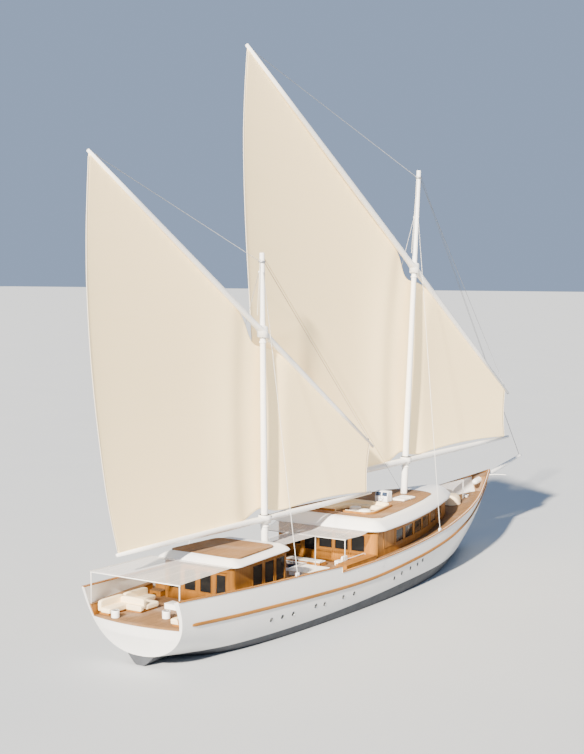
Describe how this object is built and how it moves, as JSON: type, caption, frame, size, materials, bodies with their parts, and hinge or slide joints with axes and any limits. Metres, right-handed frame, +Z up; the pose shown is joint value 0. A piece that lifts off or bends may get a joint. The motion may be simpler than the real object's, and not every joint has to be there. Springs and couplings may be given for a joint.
{
  "type": "sailing dhow, 1:2 scale model",
  "caption": "Sailing dhow with two swinging lateen rigs, decked hull, glazed deckhouses, awnings, a rudder and screw propellers.",
  "frame": {"origin": "on the centreline at the waterline, amidships", "axes": "+X to the bow, +Y to port, +Z up"},
  "size_m": [35.277, 5.8088, 24.816],
  "materials": {
    "hull_white": "painted gloss",
    "roof_white": "painted satin",
    "spar_white": "painted gloss",
    "varnished_wood": "varnished",
    "teak": "bare planks",
    "smoked_glass": "tinted",
    "sailcloth": "woven",
    "awning_cloth": "woven",
    "cushion": "woven",
    "stainless": "satin",
    "bronze": "cast and polished",
    "bottom_grey": "painted matt"
  },
  "bodies": {
    "vessel": {"aft_awning": "awning_cloth", "aft_awning_frame": "stainless", "aft_chair": "cushion", "aft_coffee_table": "roof_white", "aft_house_glass": "smoked_glass", "aft_house_roof": "roof_white", "aft_house_walls": "varnished_wood", "aft_roof_deck": "teak", "aft_sofa": "cushion", "bowsprit": "spar_white", "bulwark_port": "hull_white", "bulwark_starboard": "hull_white", "cap_rail": "varnished_wood", "cockpit_bench": "cushion", "cockpit_rim": "varnished_wood", "cockpit_table": "roof_white", "deck_aft": "teak", "deck_fore": "teak", "fore_awning": "awning_cloth", "fore_awning_post": "stainless", "foredeck_dome": "cushion", "forestay": "stainless", "helm_console": "roof_white", "hull": "hull_white", "ledge_port": "varnished_wood", "ledge_starboard": "varnished_wood", "main_house_glass": "smoked_glass", "main_house_roof": "roof_white", "main_house_walls": "varnished_wood", "main_mast": "spar_white", "main_roof_deck": "teak", "main_shroud_port": "stainless", "main_shroud_starboard": "stainless", "middle_awning": "awning_cloth", "middle_awning_frame": "stainless", "middle_pool": "varnished_wood", "middle_sun_bed": "cushion", "mizzen_mast": "spar_white", "mizzen_shroud_port": "stainless", "mizzen_shroud_starboard": "stainless", "mizzen_stay": "stainless", "roof_sun_pad": "cushion", "side_locker_port": "varnished_wood", "side_locker_starboard": "varnished_wood", "stem_cap": "varnished_wood", "strake_port": "varnished_wood", "strake_starboard": "varnished_wood"},
    "main_rig": {"main_yard": "spar_white", "main_boom": "spar_white", "main_sail": "sailcloth", "main_lifts": "stainless"},
    "mizzen_rig": {"mizzen_yard": "spar_white", "mizzen_boom": "spar_white", "mizzen_sail": "sailcloth", "mizzen_lifts": "stainless"},
    "rudder": {"rudder": "bottom_grey"},
    "propeller_port": {"propeller_port": "bronze"},
    "propeller_starboard": {"propeller_starboard": "bronze"},
    "aft_house_door": {"aft_house_door": "varnished_wood"},
    "main_house_door": {"main_house_door": "varnished_wood"}
  },
  "joints": [
    {"name": "main_swing", "type": "hinge", "parent": "vessel", "child": "main_rig", "pos_m": [5.03, 0, 1.58], "axis": [-0.075, 0, -0.9972], "range_deg": [0, 20]},
    {"name": "mizzen_swing", "type": "hinge", "parent": "vessel", "child": "mizzen_rig", "pos_m": [-6.525, 0, 1.58], "axis": [0.0227, 0, -0.9997], "range_deg": [0, 20]},
    {"name": "rudder_turn", "type": "hinge", "parent": "vessel", "child": "rudder", "pos_m": [-13.27, 0, -0.9], "axis": [0, 0, 1], "range_deg": [-35, 35]},
    {"name": "propeller_port_spin", "type": "hinge", "parent": "vessel", "child": "propeller_port", "pos_m": [-11.45, 1.05, -0.92], "axis": [1, 0, 0], "continuous": true},
    {"name": "propeller_starboard_spin", "type": "hinge", "parent": "vessel", "child": "propeller_starboard", "pos_m": [-11.45, -1.05, -0.92], "axis": [1, 0, 0], "continuous": true},
    {"name": "aft_house_door_swing", "type": "hinge", "parent": "vessel", "child": "aft_house_door", "pos_m": [-10.975, -1.284, 1.6], "axis": [0, 0, 1], "range_deg": [0, 90]},
    {"name": "main_house_door_swing", "type": "hinge", "parent": "vessel", "child": "main_house_door", "pos_m": [-1.875, 1.084, 1.6], "axis": [0, 0, -1], "range_deg": [0, 90]}
  ]
}
